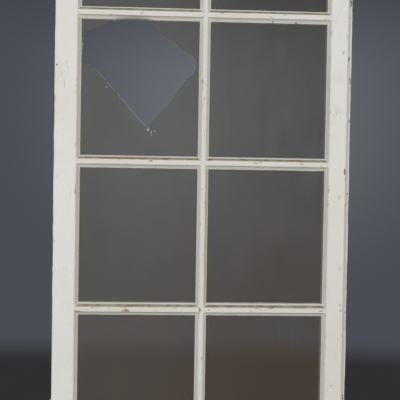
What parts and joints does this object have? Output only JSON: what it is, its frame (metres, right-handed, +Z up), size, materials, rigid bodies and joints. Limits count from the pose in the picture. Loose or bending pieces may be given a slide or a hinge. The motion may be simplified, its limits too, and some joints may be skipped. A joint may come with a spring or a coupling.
{
  "type": "casement window",
  "caption": "Inward-opening timber casement sash with puttied panes between moulded glazing bars, one pane broken, hung on butt hinges with a turn button.",
  "frame": {"origin": "middle of the sash's bottom edge face, at mid thickness and mid width", "axes": "+X towards the closing edge, +Y into the room (the putty side faces -Y), +Z up"},
  "size_m": [0.621, 0.0553, 1.318],
  "materials": {
    "painted_wood": "satin",
    "bare_wood": "matte",
    "window_glass": "gloss",
    "putty": "matte",
    "zinc": "satin",
    "hinge_iron": "satin",
    "button_iron": "satin",
    "screw_steel": "satin"
  },
  "bodies": {
    "frame_side": {"upper_hinge_jamb_leaf": "hinge_iron", "upper_hinge_pin": "hinge_iron", "lower_hinge_jamb_leaf": "hinge_iron", "lower_hinge_pin": "hinge_iron"},
    "sash": {"left_stile": "painted_wood", "right_stile": "painted_wood", "top_rail": "painted_wood", "bottom_rail": "painted_wood", "upright_bar": "painted_wood", "cross_bar_1_left": "painted_wood", "cross_bar_1_right": "painted_wood", "cross_bar_2_left": "painted_wood", "cross_bar_2_right": "painted_wood", "cross_bar_3_left": "painted_wood", "cross_bar_3_right": "painted_wood", "tenon_wedges": "bare_wood", "corner_pegs": "painted_wood", "pane_1_left": "window_glass", "pane_1_right": "window_glass", "pane_2_left": "window_glass", "pane_2_right": "window_glass", "pane_3_left": "window_glass", "pane_3_right": "window_glass", "pane_4_left": "window_glass", "pane_4_right": "window_glass", "bedding_putty": "putty", "glazing_points": "zinc", "face_putty_1_left": "putty", "face_putty_1_right": "putty", "face_putty_2_left": "putty", "face_putty_2_right": "putty", "face_putty_3_left": "putty", "face_putty_3_right": "putty", "face_putty_4_left": "putty", "face_putty_4_right": "putty", "upper_hinge_sash_leaf": "hinge_iron", "lower_hinge_sash_leaf": "hinge_iron", "hinge_screws": "screw_steel", "turn_button_plate": "button_iron", "turn_button_pivot": "screw_steel", "turn_button_screws": "screw_steel"},
    "turn_button": {"turn_button": "button_iron"}
  },
  "joints": [
    {"name": "sash_swing", "type": "hinge", "parent": "frame_side", "child": "sash", "pos_m": [-0.3085, 0.0241, 0], "axis": [0, 0, 1], "range_deg": [0, 110]},
    {"name": "button_turn", "type": "hinge", "parent": "sash", "child": "turn_button", "pos_m": [0.285, 0.02, 0.655], "axis": [0, 1, 0], "range_deg": [-90, 90]}
  ]
}
